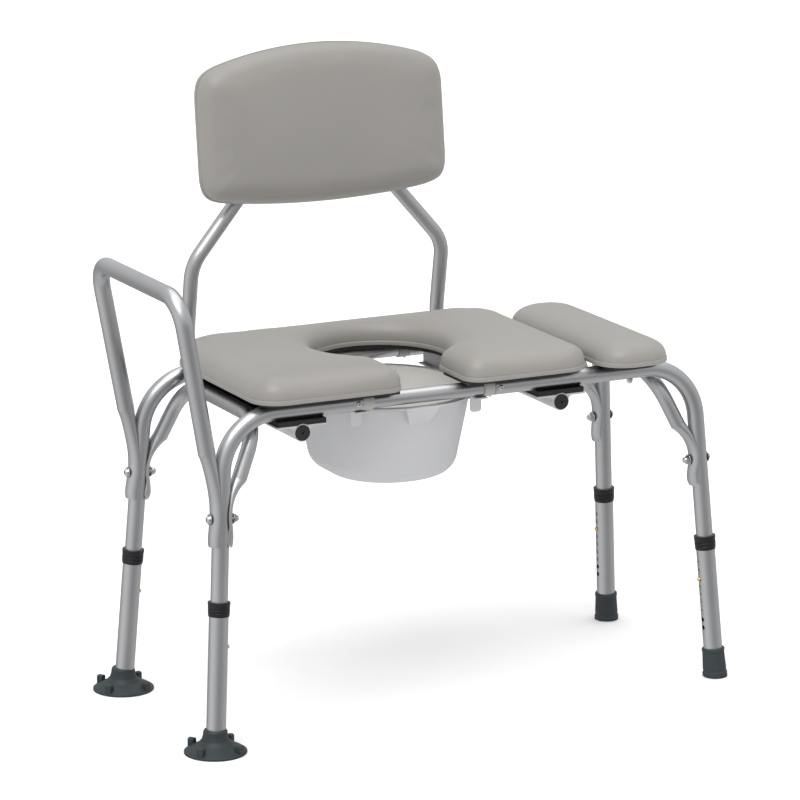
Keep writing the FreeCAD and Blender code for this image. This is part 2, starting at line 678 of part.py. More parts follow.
SEAT_EDGES = ("padLeft", "padRight", "padFront", "padRear")
SEAT_CORNERS = ("padCorner", "padRearCorner")
SIDE_EDGES = ("sideLeft", "sideRight", "sideFront", "sideRear")
SIDE_CORNERS = ("sideCorner", "sideRearCorner")


def pad_solid(label, edges, corners, thick, has_opening):
    shape = Part.Face(flat_outline(edges, corners, PAD_BASE)).extrude(Vector(0, 0, thick))
    if has_opening:
        shape = shape.cut(opening_cutter(0, PAD_BASE - 1, thick + 2, size("mouthRound"))).removeSplitter()
    rim = [edge for edge in shape.Edges if edge.BoundBox.ZMin > PAD_BASE + thick - 0.1]
    return feature(label, shape.makeFillet(size("padRound"), rim))


def sleeve_reliefs():
    """Shallow hollows under the board that clear the sleeves of the rails and their nubs."""
    reliefs = []
    for row in ("front", "rear"):
        y = leg_point(row + "_left", size("railHeight")).y
        for middle in (size("barLeft"), size("barRight")):
            start = Vector(middle - size("sleeveLong") / 2 - 0.5, y, size("railHeight"))
            reliefs.append(rod(start, Vector(1, 0, 0), TUBE_R + 0.7, size("sleeveLong") + 1))
            nub = Vector(middle + NUB_SHIFT, y, RAIL_TOP - 1)
            reliefs.append(rod(nub, Vector(0, 0, 1), 2.2, 3.5))
    return reliefs


def board(label, edges, corners, has_opening):
    wire = flat_outline(edges, corners, BOARD_BASE, size("boardInset"))
    shape = Part.Face(wire).extrude(Vector(0, 0, size("boardThick")))
    if has_opening:
        shape = shape.cut(opening_cutter(6, BOARD_BASE - 1, size("boardThick") + 2, 0))
        for relief in sleeve_reliefs():
            shape = shape.cut(relief)
    for x, y, _ in screw_places():
        shape = shape.cut(rod(Vector(x, y, BOARD_BASE - 1), Vector(0, 0, 1), SCREW_HOLE_R, 5.0))
    return feature(label, shape)


pad_solid("seat_pad", SEAT_EDGES, SEAT_CORNERS, size("padThick"), True)
pad_solid("side_pad", SIDE_EDGES, SIDE_CORNERS, size("sideThick"), False)
board("seat_board", SEAT_EDGES, SEAT_CORNERS, True)
board("side_board", SIDE_EDGES, SIDE_CORNERS, False)


# ---------------------------------------------------------------- seat braces under the rails

BRACE_LONG = size("braceRear") - size("braceFront")


def pad_along(body, sketch, name, length, expression):
    pad = body.newObject("PartDesign::Pad", name)
    pad.Profile = sketch
    pad.Length = length
    pad.setExpression("Length", expression)
    pad.Reversed = True
    return pad


def ring_sketch(body, name, alias, offset):
    """Circle about the boss axis, its radius half of a sheet size plus an offset."""
    sketch = plane_sketch(body, "XZ_Plane", name)
    radius = size(alias) / 2 + offset
    sketch.addGeometry(Part.Circle(Vector(0, size("bossHeight"), 0), Vector(0, 0, 1), radius), False)
    drive = sketch.addConstraint(Sketcher.Constraint("Radius", 0, radius))
    sketch.setExpression("Constraints[%d]" % drive, "Sizes.%s / 2 + %r" % (alias, offset))
    sketch.addConstraint(Sketcher.Constraint("PointOnObject", 0, 3, -2))
    height = sketch.addConstraint(Sketcher.Constraint("DistanceY", -1, 1, 0, 3, size("bossHeight")))
    sketch.setExpression("Constraints[%d]" % height, "Sizes.bossHeight")
    return sketch


def brace(side):
    """Extrusion across both rails: a flat flange over a round boss that takes the backrest tube."""
    label = "seat_brace_" + side
    body = doc.addObject("PartDesign::Body", label)
    outline = plane_sketch(body, "XZ_Plane", label + "_flange")
    low, top = cell("bossHeight", 1, FLANGE_BASE), cell("bossHeight", 1, FLANGE_BASE + size("flangeThick"))
    right, left = cell("braceWide", 0.5), cell("braceWide", -0.5)
    axis = cell("bossHeight")
    closed_outline(outline, [(left, top), (left, low), (plain(-17), low), (plain(-9), axis),
                             (plain(9), axis), (plain(17), low), (right, low), (right, top)])
    reach = "Sizes.braceRear - Sizes.braceFront"
    pad_along(body, outline, label + "_flange_pad", BRACE_LONG, reach)
    doc.recompute()
    flange_volume = body.Shape.Volume
    boss = ring_sketch(body, label + "_boss", "bossDia", 0)
    pad_along(body, boss, label + "_boss_pad", BRACE_LONG, reach)
    doc.recompute()
    if body.Shape.Volume < flange_volume + 1000:
        raise ValueError("the boss added nothing to " + label)
    solid_volume = body.Shape.Volume
    bore = body.newObject("PartDesign::Pocket", label + "_bore")
    bore.Profile = ring_sketch(body, label + "_bore_ring", "backTubeDia", size("backTubeGap"))
    bore.Type = "ThroughAll"
    doc.recompute()
    if body.Shape.Volume > solid_volume - 1000:
        raise ValueError("the bore cut nothing from " + label)
    screw_holes(body, label)
    middle = size("braceLeft") if side == "left" else size("braceRight")
    return register(label, body, Placement(Vector(middle, size("braceFront"), 0), Rotation()))


def screw_holes(body, label):
    """Four clearance holes through the flange, two under each rail."""
    sketch = plane_sketch(body, "XY_Plane", label + "_holes")
    rail_y = leg_point("rear_left", size("railHeight")).y
    for x in (-27, 27):
        for y in (-rail_y, rail_y):
            spot = Vector(x, y - size("braceFront"), 0)
            sketch.addGeometry(Part.Circle(spot, Vector(0, 0, 1), 2.65), False)
    holes = body.newObject("PartDesign::Pocket", label + "_screw_holes")
    holes.Profile = sketch
    holes.Type = "ThroughAll"
    holes.Reversed = True
    before = body.Shape.Volume
    doc.recompute()
    if body.Shape.Volume > before - 100:
        raise ValueError("the screw holes missed " + label)


def brace_pad(side):
    """Rubber strip between a brace and the rails, hollowed underneath to clear the boss."""
    label = "brace_pad_" + side
    middle = size("braceLeft") if side == "left" else size("braceRight")
    strip = doc.addObject("Part::Box", label + "_strip")
    strip.setExpression("Length", "Sizes.braceWide - 4")
    strip.setExpression("Width", "Sizes.braceRear - Sizes.braceFront")
    base = size("bossHeight") + FLANGE_BASE + size("flangeThick") + 0.05
    strip.Height = RAIL_BASE - 0.05 - base
    strip.Placement.Base = Vector(2 - size("braceWide") / 2, 0, base)
    hollow = doc.addObject("Part::Cylinder", label + "_hollow")
    hollow.setExpression("Radius", "Sizes.bossDia / 2 + 0.3")
    hollow.setExpression("Height", "Sizes.braceRear - Sizes.braceFront + 10")
    hollow.Placement = Placement(Vector(0, -5, size("bossHeight")), Rotation(Vector(1, 0, 0), -90))
    tools = [hollow]
    rail_y = leg_point("rear_left", size("railHeight")).y
    for x in (-27, 27):
        for y in (-rail_y, rail_y):
            hole = doc.addObject("Part::Cylinder", label + "_hole")
            hole.Radius = 2.65
            hole.Height = 20
            hole.Placement.Base = Vector(x, y - size("braceFront"), base - 5)
            tools.append(hole)
    cutter = doc.addObject("Part::MultiFuse", label + "_cutter")
    cutter.Shapes = tools
    body = doc.addObject("Part::Cut", label)
    body.Base = strip
    body.Tool = cutter
    return register(label, body, Placement(Vector(middle, size("braceFront"), 0), Rotation()))


def brace_plugs():
    """Plastic plugs in the front ends of the two bosses."""
    plugs = []
    stem_r = size("backTubeDia") / 2 - 0.1
    for middle in (size("braceLeft"), size("braceRight")):
        start = Vector(middle, size("braceFront"), size("bossHeight"))
        outline = [(1.6, 2.6), (9.6, 2.6), (11.6, 1.4), (11.6, 0.05), (stem_r, 0.05), (stem_r, -14),
                   (1.6, -14)]
        plugs.append(turned(outline, start, Vector(0, -1, 0)))
    return Part.Compound(plugs)


for brace_side in ("left", "right"):
    brace(brace_side)
    brace_pad(brace_side)
feature("brace_plugs", brace_plugs())


# ---------------------------------------------------------------- backrest

BACK_R = size("backTubeDia") / 2
BACK = back_points()
KNEE, HEAD = BACK[3], BACK[4]
BACK_UP = (HEAD - KNEE).normalize()
BACK_OUT = Vector(0, BACK_UP.z, -BACK_UP.y)
BACK_SEAT = KNEE + BACK_UP * ((size("backPadHeight") - KNEE.z) / BACK_UP.z)
BACK_SEAT.x = (size("braceLeft") + size("braceRight")) / 2
BACK_SCREWS = [(x, rise) for x in (-size("backInner"), size("backInner")) for rise in (-26, 16)]


def back_placement(depth):
    """Frame of the backrest: X across, Y to the rear, Z up the tube, depth ahead of the tube."""
    matrix = FreeCAD.Matrix(1, 0, 0, 0, 0, BACK_OUT.y, BACK_UP.y, 0, 0, BACK_OUT.z, BACK_UP.z, 0, 0, 0, 0, 1)
    placement = Placement(matrix)
    placement.Base = BACK_SEAT - BACK_OUT * (BACK_R + depth)
    return placement


def back_outline(inset):
    """Arched top, gently sagging foot, straight sides, all moved in by the inset."""
    half = size("backPadWide") / 2 - inset
    top, foot = size("backPadTall") / 2 - inset, -size("backPadTall") / 2 + inset
    shoulder, hip = top - size("backArch"), foot + size("backSag")
    edges = [Part.Arc(Vector(-half, 0, shoulder), Vector(0, 0, top), Vector(half, 0, shoulder)),
             Part.LineSegment(Vector(half, 0, shoulder), Vector(half, 0, hip)),
             Part.Arc(Vector(half, 0, hip), Vector(0, 0, foot), Vector(-half, 0, hip)),
             Part.LineSegment(Vector(-half, 0, hip), Vector(-half, 0, shoulder))]
    return Part.Face(Part.Wire([edge.toShape() for edge in edges]))


def back_slab(inset, thick, corner):
    slab = back_outline(inset).extrude(Vector(0, -thick, 0))
    uprights = [edge for edge in slab.Edges if abs(edge.Length - thick) < 0.01]
    return slab.makeFillet(corner, uprights)


def backrest_tube():
    knee_bends = [size("backKnee")] * 2
    radii = [size("backBend")] + knee_bends + [size("backHoop")] * 2 + knee_bends + [size("backBend")]
    shape = bent_tube(BACK, radii, BACK_R, WALL)
    for x, rise in BACK_SCREWS:
        spot = BACK_SEAT + Vector(x, 0, 0) + BACK_UP * rise
        shape = shape.cut(rod(spot - BACK_OUT * 20, BACK_OUT, SCREW_HOLE_R, 40))
    return feature("backrest_tube", shape)


def backrest_board():
    shape = back_slab(20, size("backBoardThick"), 34)
    for x, rise in BACK_SCREWS:
        shape = shape.cut(rod(Vector(x, -4.5, rise), Vector(0, 1, 0), SCREW_HOLE_R, 10))
    return feature("backrest_board", shape, back_placement(0.05))


def backrest_pad():
    thick = size("backPadThick")
    shape = back_slab(0, thick, 48)
    front = [edge for edge in shape.Edges if edge.BoundBox.YMax < 1 - thick]
    shape = shape.makeFillet(14, front)
    return feature("backrest_pad", shape, back_placement(0.25 + size("backBoardThick")))


def backrest_screws():
    screws = []
    for x, rise in BACK_SCREWS:
        spot = BACK_SEAT + Vector(x, 0, 0) + BACK_UP * rise - BACK_OUT * (BACK_R + 3.8)
        head = spot + BACK_OUT * (2 * BACK_R + 3.9)
        screw = rod(spot, BACK_OUT, SCREW_R, 2 * BACK_R + 4.2)
        outline = [(0, 0), (5.2, 0), (4.6, 1.6), (3.0, 2.4), (0, 2.4)]
        screws.append(screw.fuse(turned(outline, head, BACK_OUT)))
    return Part.Compound(screws)


backrest_tube()
backrest_board()
backrest_pad()
feature("backrest_screws", backrest_screws())


# ---------------------------------------------------------------- pail, runners and hooks

PAIL = Vector(size("pailX"), size("pailY"), 0)
RIM_BASE = size("pailRim") - size("rimThick")


def pail_wire(grow, height):
    """Oval outline of the pail at a height, tapering to the base and grown by an amount."""
    drop = size("pailTaper") * max(size("pailRim") - height, 0)
    return rounded_box_wire(size("pailHalfX") - drop + grow, size("pailHalfY") - drop + grow,
                            size("pailCorner") - drop + grow, height, PAIL)


def vessel(grow, base, top, bottom_round):
    shape = Part.makeLoft([pail_wire(grow, base), pail_wire(grow, top)], True, True)
    foot = [edge for edge in shape.Edges if edge.BoundBox.ZMax < base + 0.1]
    return shape.makeFillet(bottom_round, foot)


def pail_lug():
    """Corbel under the rim at the front, wide at the top and narrow at the foot."""
    front = size("pailY") - size("pailHalfY") - size("rimWide")
    side = [Vector(0, front, size("pailRim")), Vector(0, front, RIM_BASE), Vector(0, front + 7, 452),
            Vector(0, front + 17, 440), Vector(0, front + 30, 440), Vector(0, front + 30, size("pailRim"))]
    plan = [(-33.4, size("pailRim")), (23.6, size("pailRim")), (10, 440), (-20, 440)]
    face = [Vector(size("pailX") + x, front - 5, z) for x, z in plan]
    corbel = Part.Face(Part.makePolygon(side + side[:1])).extrude(Vector(400, 0, 0))
    corbel.translate(Vector(size("pailX") - 200, 0, 0))
    return corbel.common(Part.Face(Part.makePolygon(face + face[:1])).extrude(Vector(0, 60, 0)))


def pail():
    outer = vessel(0, size("pailBase"), size("pailRim"), 32)
    flange = Part.Face(pail_wire(size("rimWide"), size("pailRim"))).extrude(
        Vector(0, 0, -size("rimThick")))
    wall = size("pailWall")
    inner = vessel(-wall, size("pailBase") + wall, size("pailRim") + 1, 30)
    shape = outer.fuse(flange).fuse(pail_lug()).cut(inner)
    return feature("pail", shape)


def runner(side):
    """Sheet channel under the board: the rim of the pail rides on its inner ledge."""
    sign = -1 if side == "left" else 1
    label = "pail_runner_" + side
    wall = size("runnerWall")
    web = size("pailHalfX") + size("rimWide") + size("runnerGap")
    ledge = size("pailHalfX") + 1.8
    low, top = RIM_BASE - 0.3, RAIL_TOP - 0.05
    lip = web + 16
    outline = [(ledge, low - wall), (web + wall, low - wall), (web + wall, top - wall),
               (lip, top - wall), (lip, top), (web, top), (web, low), (ledge, low)]
    shape = Part.Face(Part.makePolygon([Vector(size("pailX") + sign * x, size("runnerFront"), z)
                                        for x, z in outline + outline[:1]]))
    shape = shape.extrude(Vector(0, size("runnerRear") - size("runnerFront"), 0))
    return feature(label, shape)


def pail_hooks():
    """Bent straps under the front rail that stop the pail at the front."""
    hooks = []
    rail_y = leg_point("front_left", size("railHeight")).y
    top, wall = RAIL_BASE - 0.5, size("runnerWall")
    for x in (size("hookLeft"), size("hookRight")):
        half = size("hookWide") / 2
        strap = Part.makeBox(2 * half, 23, wall, Vector(x - half, rail_y - 8, top - wall))
        drop = Part.makeBox(2 * half, wall, top - size("hookBase"),
                            Vector(x - half, rail_y + 15 - wall, size("hookBase")))
        corners = [edge for edge in drop.Edges if abs(edge.Length - wall) < 0.01
                   and edge.BoundBox.ZMax < size("hookBase") + 0.1]
        hooks.append(strap.fuse(drop.makeFillet(5, corners)))
    return Part.Compound(hooks)


pail()
runner("left")
runner("right")
feature("pail_hooks", pail_hooks())


# ---------------------------------------------------------------- checks and files

doc.recompute()
for obj in doc.Objects:
    if "Invalid" in obj.State or "Error" in obj.State:
        raise ValueError("failed object: " + obj.Label)
for label, obj in parts.items():
    if obj.Shape.isNull() or not obj.Shape.isValid() or not obj.Shape.Solids:
        raise ValueError("bad shape: " + label)

os.makedirs("parts", exist_ok=True)
for label, obj in parts.items():
    obj.Shape.exportStep("parts/%s.step" % label)
print("wrote %d sub-parts" % len(parts))
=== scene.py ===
import bpy
import bmesh
import json
import math
from mathutils import Matrix, Vector


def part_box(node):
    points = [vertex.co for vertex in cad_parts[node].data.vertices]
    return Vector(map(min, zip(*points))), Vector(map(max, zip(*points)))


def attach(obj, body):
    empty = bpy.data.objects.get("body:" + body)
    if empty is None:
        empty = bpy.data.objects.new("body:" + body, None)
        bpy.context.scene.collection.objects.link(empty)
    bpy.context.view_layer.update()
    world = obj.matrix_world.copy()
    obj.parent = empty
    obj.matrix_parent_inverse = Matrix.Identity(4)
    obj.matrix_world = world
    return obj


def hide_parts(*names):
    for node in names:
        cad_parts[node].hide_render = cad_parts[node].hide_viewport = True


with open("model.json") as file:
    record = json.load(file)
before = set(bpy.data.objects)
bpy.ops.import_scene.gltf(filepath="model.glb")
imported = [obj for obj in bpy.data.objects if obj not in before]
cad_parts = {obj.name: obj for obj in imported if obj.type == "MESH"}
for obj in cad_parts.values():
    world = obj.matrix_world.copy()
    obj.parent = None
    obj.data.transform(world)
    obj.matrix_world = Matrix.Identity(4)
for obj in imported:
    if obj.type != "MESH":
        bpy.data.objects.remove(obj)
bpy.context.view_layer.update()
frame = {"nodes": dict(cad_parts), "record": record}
print("frame loaded,", len(frame["nodes"]), "CAD pieces")


# small node-tree helpers

def addNode(tree, kind, values=None, **settings):
    node = tree.nodes.new(kind)
    for name, value in settings.items():
        setattr(node, name, value)
    for name, value in (values or {}).items():
        node.inputs[name].default_value = value
    return node


def newGroup(name, inputs, outputs):
    group = bpy.data.node_groups.new(name, "ShaderNodeTree")
    for label, kind, default in inputs:
        socket = group.interface.new_socket(name=label, in_out="INPUT", socket_type=kind)
        if default is not None:
            socket.default_value = default
    for label, kind in outputs:
        group.interface.new_socket(name=label, in_out="OUTPUT", socket_type=kind)
    return group, group.nodes.new("NodeGroupInput"), group.nodes.new("NodeGroupOutput")


# fine grain: a pebbled height for skins and moulded plastic, with a slow change of tone under it
def makeGrainGroup():
    group, given, result = newGroup(
        "fineGrain",
        [("Grain Scale", "NodeSocketFloat", 900.0), ("Tone Scale", "NodeSocketFloat", 6.0),
         ("Tone Low", "NodeSocketFloat", 0.9), ("Tone High", "NodeSocketFloat", 1.05),
         ("Colour", "NodeSocketColor", (0.5, 0.5, 0.5, 1)),
         ("Rough Low", "NodeSocketFloat", 0.4), ("Rough High", "NodeSocketFloat", 0.5)],
        [("Colour", "NodeSocketColor"), ("Roughness", "NodeSocketFloat"), ("Height", "NodeSocketFloat")])
    link = group.links.new
    coords = addNode(group, "ShaderNodeTexCoord")
    pebbles = addNode(group, "ShaderNodeTexVoronoi", feature="SMOOTH_F1")
    specks = addNode(group, "ShaderNodeTexNoise", {"Detail": 4.0, "Roughness": 0.6})
    slow = addNode(group, "ShaderNodeTexNoise", {"Detail": 3.0, "Roughness": 0.5})
    link(coords.outputs["Object"], pebbles.inputs["Vector"])
    link(coords.outputs["Object"], specks.inputs["Vector"])
    link(coords.outputs["Object"], slow.inputs["Vector"])
    link(given.outputs["Grain Scale"], pebbles.inputs["Scale"])
    link(given.outputs["Grain Scale"], specks.inputs["Scale"])
    link(given.outputs["Tone Scale"], slow.inputs["Scale"])
    mixHeight = addNode(group, "ShaderNodeMix", {"Factor": 0.4}, data_type="FLOAT")
    link(pebbles.outputs["Distance"], mixHeight.inputs["A"])
    link(specks.outputs["Fac"], mixHeight.inputs["B"])
    tone = addNode(group, "ShaderNodeMapRange", {"From Min": 0.3, "From Max": 0.7})
    link(slow.outputs["Fac"], tone.inputs["Value"])
    link(given.outputs["Tone Low"], tone.inputs["To Min"])
    link(given.outputs["Tone High"], tone.inputs["To Max"])
    rough = addNode(group, "ShaderNodeMapRange", {"From Min": 0.3, "From Max": 0.7})
    link(slow.outputs["Fac"], rough.inputs["Value"])
    link(given.outputs["Rough Low"], rough.inputs["To Min"])
    link(given.outputs["Rough High"], rough.inputs["To Max"])
    scaled = addNode(group, "ShaderNodeVectorMath", operation="SCALE")
    link(given.outputs["Colour"], scaled.inputs["Vector"])
    link(tone.outputs["Result"], scaled.inputs["Scale"])
    link(scaled.outputs["Vector"], result.inputs["Colour"])
    link(rough.outputs["Result"], result.inputs["Roughness"])
    link(mixHeight.outputs["Result"], result.inputs["Height"])
    return group


# scuffs: thin scattered scratches and rub marks, as a mask
def makeScuffGroup():
    group, given, result = newGroup(
        "scuffs",
        [("Scale", "NodeSocketFloat", 40.0), ("Amount", "NodeSocketFloat", 0.3)],
        [("Mask", "NodeSocketFloat")])
    link = group.links.new
    coords = addNode(group, "ShaderNodeTexCoord")
    stretch = addNode(group, "ShaderNodeMapping", {"Scale": (1.0, 7.0, 2.0), "Rotation": (0.3, 0.5, 0.8)})
    lines = addNode(group, "ShaderNodeTexNoise", {"Detail": 8.0, "Roughness": 0.75})
    patches = addNode(group, "ShaderNodeTexNoise", {"Scale": 9.0, "Detail": 2.0})
    link(coords.outputs["Object"], stretch.inputs["Vector"])
    link(stretch.outputs["Vector"], lines.inputs["Vector"])
    link(coords.outputs["Object"], patches.inputs["Vector"])
    link(given.outputs["Scale"], lines.inputs["Scale"])
    sharp = addNode(group, "ShaderNodeMapRange", {"From Min": 0.62, "From Max": 0.7})
    where = addNode(group, "ShaderNodeMapRange", {"From Min": 0.45, "From Max": 0.65})
    link(lines.outputs["Fac"], sharp.inputs["Value"])
    link(patches.outputs["Fac"], where.inputs["Value"])
    both = addNode(group, "ShaderNodeMath", operation="MULTIPLY")
    link(sharp.outputs["Result"], both.inputs[0])
    link(where.outputs["Result"], both.inputs[1])
    amount = addNode(group, "ShaderNodeMath", operation="MULTIPLY")
    link(both.outputs["Value"], amount.inputs[0])
    link(given.outputs["Amount"], amount.inputs[1])
    link(amount.outputs["Value"], result.inputs["Mask"])
    return group


grainGroup = makeGrainGroup()
scuffGroup = makeScuffGroup()


def makeMaterial(name, look):
    material = bpy.data.materials.new(name)
    material.use_nodes = True
    tree = material.node_tree
    link = tree.links.new
    shader = tree.nodes["Principled BSDF"]
    for socket, value in look.get("shader", {}).items():
        shader.inputs[socket].default_value = value
    grain = addNode(tree, "ShaderNodeGroup", node_tree=grainGroup)
    grain.inputs["Colour"].default_value = (*look["colour"], 1)
    grain.inputs["Grain Scale"].default_value = look["grainScale"]
    grain.inputs["Tone Scale"].default_value = look.get("toneScale", 6.0)
    grain.inputs["Tone Low"].default_value = look["tone"][0]
    grain.inputs["Tone High"].default_value = look["tone"][1]
    grain.inputs["Rough Low"].default_value = look["rough"][0]
    grain.inputs["Rough High"].default_value = look["rough"][1]
    scuffs = addNode(tree, "ShaderNodeGroup", node_tree=scuffGroup)
    scuffs.inputs["Scale"].default_value = look.get("scuffScale", 40.0)
    scuffs.inputs["Amount"].default_value = look.get("scuffs", 0.2)
    rubbed = addNode(tree, "ShaderNodeMix", data_type="RGBA")
    rubbed.inputs["B"].default_value = (*look.get("scuffColour", look["colour"]), 1)
    link(scuffs.outputs["Mask"], rubbed.inputs["Factor"])
    link(grain.outputs["Colour"], rubbed.inputs["A"])
    link(rubbed.outputs["Result"], shader.inputs["Base Color"])
    rougher = addNode(tree, "ShaderNodeMath", {1: look.get("scuffRough", 0.15)}, operation="MULTIPLY")
    sumRough = addNode(tree, "ShaderNodeMath", operation="ADD", use_clamp=True)
    link(scuffs.outputs["Mask"], rougher.inputs[0])
    link(grain.outputs["Roughness"], sumRough.inputs[0])
    link(rougher.outputs["Value"], sumRough.inputs[1])
    link(sumRough.outputs["Value"], shader.inputs["Roughness"])
    bump = addNode(tree, "ShaderNodeBump", {"Strength": look["bump"], "Distance": look["bumpDepth"]})
    link(grain.outputs["Height"], bump.inputs["Height"])
    link(bump.outputs["Normal"], shader.inputs["Normal"])
    return material


looks = {
    "aluminium": {
        "colour": (0.525, 0.53, 0.54), "tone": (0.95, 1.03), "rough": (0.33, 0.42),
        "grainScale": 2600.0, "bump": 0.08, "bumpDepth": 0.0003,
        "scuffs": 0.25, "scuffColour": (0.72, 0.72, 0.73),
        "shader": {"Metallic": 1.0},
    },
    "extrusion": {
        "colour": (0.6, 0.605, 0.61), "tone": (0.92, 1.04), "rough": (0.38, 0.5),
        "grainScale": 2200.0, "bump": 0.1, "bumpDepth": 0.0003,
        "scuffs": 0.3, "scuffColour": (0.7, 0.7, 0.7),
        "shader": {"Metallic": 0.4},
    },
    "steel": {
        "colour": (0.66, 0.66, 0.67), "tone": (0.9, 1.05), "rough": (0.16, 0.26),
        "grainScale": 1500.0, "bump": 0.05, "bumpDepth": 0.0002,
        "scuffs": 0.2, "scuffColour": (0.5, 0.5, 0.5),
        "shader": {"Metallic": 1.0},
    },
    "brass": {
        "colour": (0.72, 0.5, 0.2), "tone": (0.88, 1.08), "rough": (0.18, 0.3),
        "grainScale": 1500.0, "bump": 0.05, "bumpDepth": 0.0002,
        "scuffs": 0.2, "scuffColour": (0.45, 0.32, 0.14),
        "shader": {"Metallic": 1.0},
    },
    "vinyl": {
        "colour": (0.258, 0.247, 0.232), "tone": (0.96, 1.03), "rough": (0.42, 0.5),
        "grainScale": 1100.0, "bump": 0.12, "bumpDepth": 0.0004,
        "scuffs": 0.08, "scuffColour": (0.3, 0.29, 0.272),
        "shader": {"Specular IOR Level": 0.5, "Sheen Weight": 0.08, "Sheen Roughness": 0.5},
    },
    "board": {
        "colour": (0.018, 0.018, 0.018), "tone": (0.85, 1.15), "rough": (0.5, 0.65),
        "grainScale": 700.0, "bump": 0.25, "bumpDepth": 0.0004,
        "scuffs": 0.2, "scuffColour": (0.06, 0.06, 0.06),
    },
    "back_board": {
        "colour": (0.16, 0.16, 0.155), "tone": (0.88, 1.08), "rough": (0.5, 0.62),
        "grainScale": 700.0, "bump": 0.25, "bumpDepth": 0.0004,
        "scuffs": 0.15, "scuffColour": (0.24, 0.24, 0.23),
    },
    "pail": {
        "colour": (0.46, 0.462, 0.475), "tone": (0.97, 1.02), "rough": (0.36, 0.46),
        "grainScale": 1300.0, "bump": 0.08, "bumpDepth": 0.0003,
        "scuffs": 0.1, "scuffColour": (0.41, 0.41, 0.42),
        "shader": {"Specular IOR Level": 0.45},
    },
    "rubber": {
        "colour": (0.026, 0.034, 0.038), "tone": (0.85, 1.12), "rough": (0.5, 0.66),
        "grainScale": 900.0, "bump": 0.3, "bumpDepth": 0.0005,
        "scuffs": 0.3, "scuffColour": (0.07, 0.08, 0.088),
        "shader": {"Specular IOR Level": 0.35},
    },
    "collar": {
        "colour": (0.008, 0.008, 0.01), "tone": (0.85, 1.15), "rough": (0.34, 0.5),
        "grainScale": 1000.0, "bump": 0.2, "bumpDepth": 0.0004,
        "scuffs": 0.2, "scuffColour": (0.04, 0.042, 0.046),
        "shader": {"Specular IOR Level": 0.35},
    },
    "sleeve": {
        "colour": (0.33, 0.325, 0.31), "tone": (0.94, 1.05), "rough": (0.4, 0.52),
        "grainScale": 1100.0, "bump": 0.15, "bumpDepth": 0.0004,
        "scuffs": 0.15, "scuffColour": (0.46, 0.455, 0.44),
    },
    "black_rubber": {
        "colour": (0.012, 0.012, 0.013), "tone": (0.85, 1.2), "rough": (0.5, 0.65),
        "grainScale": 800.0, "bump": 0.25, "bumpDepth": 0.0004,
        "scuffs": 0.15, "scuffColour": (0.05, 0.05, 0.052),
    },
    "sheet": {
        "colour": (0.5, 0.5, 0.505), "tone": (0.92, 1.04), "rough": (0.35, 0.48),
        "grainScale": 1400.0, "bump": 0.12, "bumpDepth": 0.0003,
        "scuffs": 0.25, "scuffColour": (0.62, 0.62, 0.62),
    },
}
materials = {slot: makeMaterial(slot + "Finish", look) for slot, look in looks.items()}

# painted light: a paler colour for the pail's inner faces, standing in for the light inside the pail
pailInsideLight = {"colour": (0.67, 0.66, 0.63), "blend": 0.004}


# painted light: the pail's inner faces are painted paler, standing in for the light that fills the pail; a
# mask of the faces that look towards its middle
def paintLightInside(material):
    tree = material.node_tree
    link = tree.links.new
    low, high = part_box("pail")
    shader = tree.nodes["Principled BSDF"]
    outerColour = shader.inputs["Base Color"].links[0].from_socket
    coords = addNode(tree, "ShaderNodeTexCoord")
    offset = addNode(tree, "ShaderNodeVectorMath", operation="SUBTRACT")
    offset.inputs[1].default_value = ((low[0] + high[0]) / 2, (low[1] + high[1]) / 2, high[2])
    facing = addNode(tree, "ShaderNodeVectorMath", operation="DOT_PRODUCT")
    mask = addNode(tree, "ShaderNodeMapRange", {"From Min": pailInsideLight["blend"],
                                                "From Max": -pailInsideLight["blend"]})
    # painted light: mixes the paler inside colour onto the faces that look towards the pail's middle
    inner = addNode(tree, "ShaderNodeMix", data_type="RGBA")
    inner.inputs["B"].default_value = (*pailInsideLight["colour"], 1)
    link(coords.outputs["Object"], offset.inputs[0])
    link(offset.outputs["Vector"], facing.inputs[0])
    link(coords.outputs["Normal"], facing.inputs[1])
    link(facing.outputs["Value"], mask.inputs["Value"])
    link(mask.outputs["Result"], inner.inputs["Factor"])
    link(outerColour, inner.inputs["A"])
    link(inner.outputs["Result"], shader.inputs["Base Color"])


paintLightInside(materials["pail"])
print("materials made:", len(materials))


def applyFinish(piece, slotName):
    piece.data.materials.clear()
    piece.data.materials.append(materials[slotName])


def finishCadNodes():
    for row in frame["record"]["subparts"]:
        node = frame["nodes"][row["node"]]
        if not node.material_slots:
            node.data.materials.append(None)
        for slot in node.material_slots:
            slot.material = materials[row["material_slot"]]


finishCadNodes()


# mesh helpers

def newPiece(name, mesh, slotName, body):
    piece = bpy.data.objects.new(name, mesh)
    bpy.context.scene.collection.objects.link(piece)
    for face in mesh.polygons:
        face.use_smooth = True
    applyFinish(piece, slotName)
    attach(piece, body)
    return piece


def arc(centreX, centreY, radius, startDeg, endDeg, step=0.004):
    count = max(4, int(abs(math.radians(endDeg - startDeg)) * radius / step))
    turns = [math.radians(startDeg + (endDeg - startDeg) * k / count) for k in range(count + 1)]
    return [Vector((centreX + radius * math.cos(t), centreY + radius * math.sin(t))) for t in turns]


# points at an even spacing all round a closed outline
def evenLoop(points, spacing):
    closed = points + points[:1]
    lengths = [(b - a).length for a, b in zip(closed, closed[1:])]
    total = sum(lengths)
    count = int(total / spacing)
    even, index, passed = [], 0, 0.0
    for k in range(count):
        target = total * k / count
        while passed + lengths[index] < target:
            passed += lengths[index]
            index += 1
        share = (target - passed) / max(lengths[index], 1e-9)
        even.append(closed[index].lerp(closed[index + 1], share))
    return even


